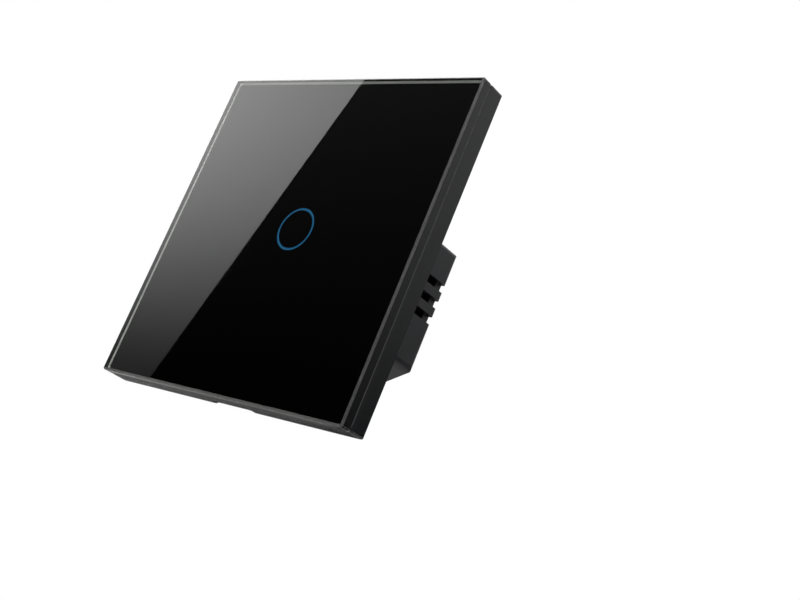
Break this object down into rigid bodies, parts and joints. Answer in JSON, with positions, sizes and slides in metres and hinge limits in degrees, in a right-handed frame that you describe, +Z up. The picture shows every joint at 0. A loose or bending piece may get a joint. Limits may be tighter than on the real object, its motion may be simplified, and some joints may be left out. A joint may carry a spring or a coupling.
{
  "type": "touch light switch",
  "caption": "Flush wall touch light switch: square black glass panel with a lit ring mark on a clip-on frame, over a cut-corner rear housing with vents and wire terminals.",
  "frame": {"origin": "centre of the wall plane, where the back of the mounting flange lies on the wall", "axes": "+X to the right seen from the front, +Y into the wall, +Z up; the glass faces -Y"},
  "size_m": [0.086, 0.035, 0.086],
  "materials": {
    "tempered_glass": "polished",
    "black_ink": "printed film",
    "tape_foam": "foam",
    "frame_plastic": "fine moulded grain",
    "housing_plastic": "fine moulded grain",
    "cover_plastic": "fine moulded grain",
    "circuit_board": "solder mask",
    "zinc_screw": "zinc plated",
    "spring_steel": "tinned wire",
    "light_guide": "frosted clear",
    "led_body": "white body, clear lens",
    "chip_epoxy": "moulded epoxy",
    "header_plastic": "moulded",
    "relay_case": "moulded",
    "film_case": "moulded",
    "can_sleeve": "shrink sleeve",
    "varistor_coat": "dipped epoxy",
    "fuse_case": "moulded",
    "ferrite": "sintered",
    "terminal_plastic": "moulded",
    "brass_bar": "stamped",
    "cage_brass": "nickel-washed"
  },
  "bodies": {
    "base": {"rear_housing": "housing_plastic", "inner_cover": "cover_plastic", "cover_screws": "zinc_screw", "touch_board": "circuit_board", "touch_board_screws": "zinc_screw", "touch_spring": "spring_steel", "light_ring": "light_guide", "indicator_leds": "led_body", "touch_chip": "chip_epoxy", "pin_socket": "header_plastic", "pin_header": "header_plastic", "power_board": "circuit_board", "power_board_screws": "zinc_screw", "relay": "relay_case", "film_capacitor": "film_case", "smoothing_capacitors": "can_sleeve", "varistor": "varistor_coat", "fuse": "fuse_case", "bridge_rectifier": "chip_epoxy", "power_inductor": "ferrite", "converter_chip": "chip_epoxy", "terminal_block": "terminal_plastic", "terminal_bars": "brass_bar"},
    "front_panel": {"glass_panel": "tempered_glass", "screen_print": "black_ink", "adhesive_tape": "tape_foam", "panel_frame": "frame_plastic"},
    "screw_1": {"terminal_screw_1": "zinc_screw"},
    "screw_2": {"terminal_screw_2": "zinc_screw"},
    "screw_3": {"terminal_screw_3": "zinc_screw"},
    "cage_1": {"clamp_cage_1": "cage_brass"},
    "cage_2": {"clamp_cage_2": "cage_brass"},
    "cage_3": {"clamp_cage_3": "cage_brass"}
  },
  "joints": [
    {"name": "panel_pull", "type": "slide", "parent": "base", "child": "front_panel", "axis": [0, -1, 0], "range_m": [0, 0.012]},
    {"name": "terminal_turn_1", "type": "hinge", "parent": "base", "child": "screw_1", "pos_m": [-0.007, 0.025, -0.0205], "axis": [0, -1, 0], "range_deg": [0, 1440]},
    {"name": "terminal_turn_2", "type": "hinge", "parent": "base", "child": "screw_2", "pos_m": [0, 0.025, -0.0205], "axis": [0, -1, 0], "range_deg": [0, 1440]},
    {"name": "terminal_turn_3", "type": "hinge", "parent": "base", "child": "screw_3", "pos_m": [0.007, 0.025, -0.0205], "axis": [0, -1, 0], "range_deg": [0, 1440]},
    {"name": "clamp_rise_1", "type": "slide", "parent": "base", "child": "cage_1", "axis": [0, 1, 0], "range_m": [0, 0.002]},
    {"name": "clamp_rise_2", "type": "slide", "parent": "base", "child": "cage_2", "axis": [0, 1, 0], "range_m": [0, 0.002]},
    {"name": "clamp_rise_3", "type": "slide", "parent": "base", "child": "cage_3", "axis": [0, 1, 0], "range_m": [0, 0.002]}
  ],
  "couplings": [
    {"joint": "terminal_turn_1", "follows": "clamp_rise_1", "rad_per_m": 12566},
    {"joint": "terminal_turn_2", "follows": "clamp_rise_2", "rad_per_m": 12566},
    {"joint": "terminal_turn_3", "follows": "clamp_rise_3", "rad_per_m": 12566}
  ]
}
